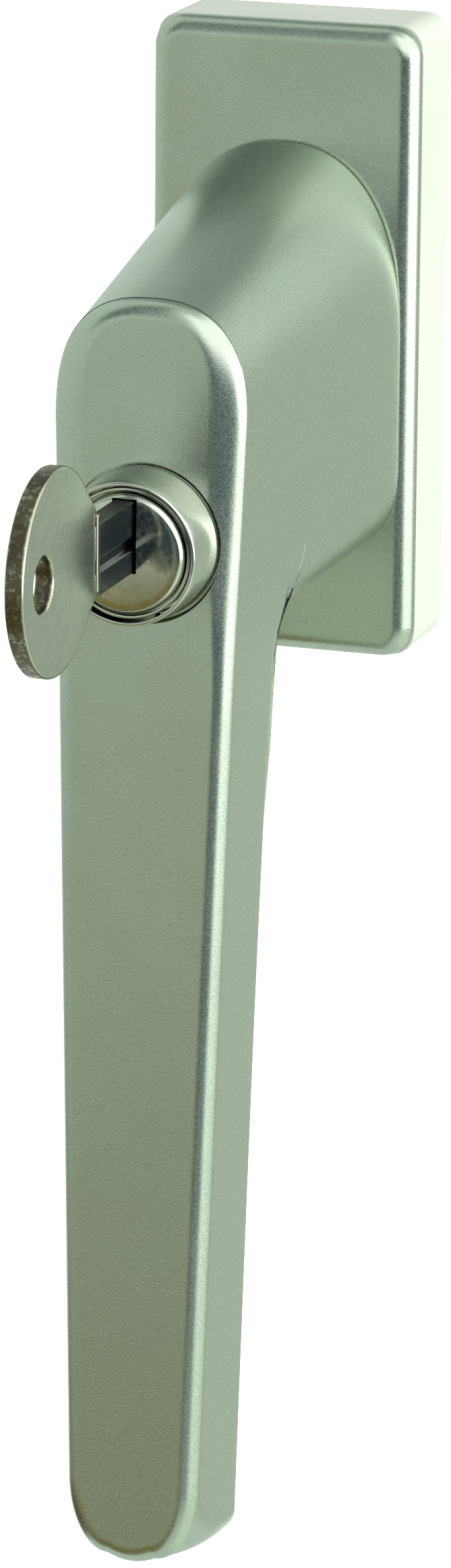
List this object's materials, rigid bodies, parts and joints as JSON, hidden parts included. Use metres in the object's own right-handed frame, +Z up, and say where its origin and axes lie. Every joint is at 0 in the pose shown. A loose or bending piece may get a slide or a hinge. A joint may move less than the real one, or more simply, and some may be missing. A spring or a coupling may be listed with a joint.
{
  "type": "tilt and turn window handle",
  "caption": "Lockable tilt and turn window handle: rosette with turn-aside cover, tapering cranked lever, square spindle, cylinder lock in the neck with its key in place.",
  "frame": {"origin": "on the spindle's axis, in the plane where the rosette meets the sash", "axes": "+Y into the sash along the spindle, +Z up, +X to the right seen from the room; the lever hangs down towards -Z"},
  "size_m": [0.0294, 0.1307, 0.1562],
  "materials": {
    "satin_aluminium": "satin anodised, slightly green-grey",
    "cream_plastic": "smooth moulded, cream white",
    "bright_nickel": "polished nickel plate",
    "plated_steel": "zinc plated",
    "spring_steel": "drawn wire and stamped strip",
    "brass": "machined",
    "white_acetal": "smooth, waxy"
  },
  "bodies": {
    "base": {"mounting_base": "cream_plastic", "index_disc": "plated_steel", "bearing_bush": "white_acetal", "fixing_screw_upper": "plated_steel", "fixing_screw_lower": "plated_steel"},
    "cover": {"rosette_cover": "satin_aluminium"},
    "lever": {"lever_handle": "satin_aluminium", "spindle": "plated_steel", "spindle_pin": "plated_steel", "retaining_ring": "spring_steel", "thrust_washer": "white_acetal", "lock_bezel": "bright_nickel", "cylinder_housing": "bright_nickel", "housing_screw": "plated_steel", "bolt_spring": "spring_steel", "detent_ball_upper": "plated_steel", "detent_ball_lower": "plated_steel", "detent_spring_upper": "spring_steel", "detent_spring_lower": "spring_steel"},
    "plug": {"lock_plug": "bright_nickel", "plug_clip": "spring_steel", "drive_cam": "plated_steel", "wafer_1": "brass", "wafer_2": "brass", "wafer_3": "brass", "wafer_4": "brass", "wafer_5": "brass"},
    "bolt": {"lock_bolt": "plated_steel"},
    "key": {"key": "bright_nickel"}
  },
  "joints": [
    {"name": "handle_turn", "type": "hinge", "parent": "base", "child": "lever", "pos_m": [0, 0, 0], "axis": [0, 1, 0], "range_deg": [0, 180]},
    {"name": "cover_turn", "type": "hinge", "parent": "base", "child": "cover", "pos_m": [0, 0, 0], "axis": [0, 1, 0], "range_deg": [0, 90]},
    {"name": "key_turn", "type": "hinge", "parent": "lever", "child": "plug", "pos_m": [0, -0.05, -0.012], "axis": [0, 1, 0], "range_deg": [0, 90]},
    {"name": "key_slide", "type": "slide", "parent": "plug", "child": "key", "axis": [0, -1, 0], "range_m": [0, 0.025]},
    {"name": "bolt_slide", "type": "slide", "parent": "lever", "child": "bolt", "axis": [0, 1, 0], "range_m": [0, 0.0036], "deforming": ["bolt_spring"]}
  ],
  "couplings": [
    {"joint": "bolt_slide", "follows": "key_turn", "m_per_rad": 0.00229}
  ]
}
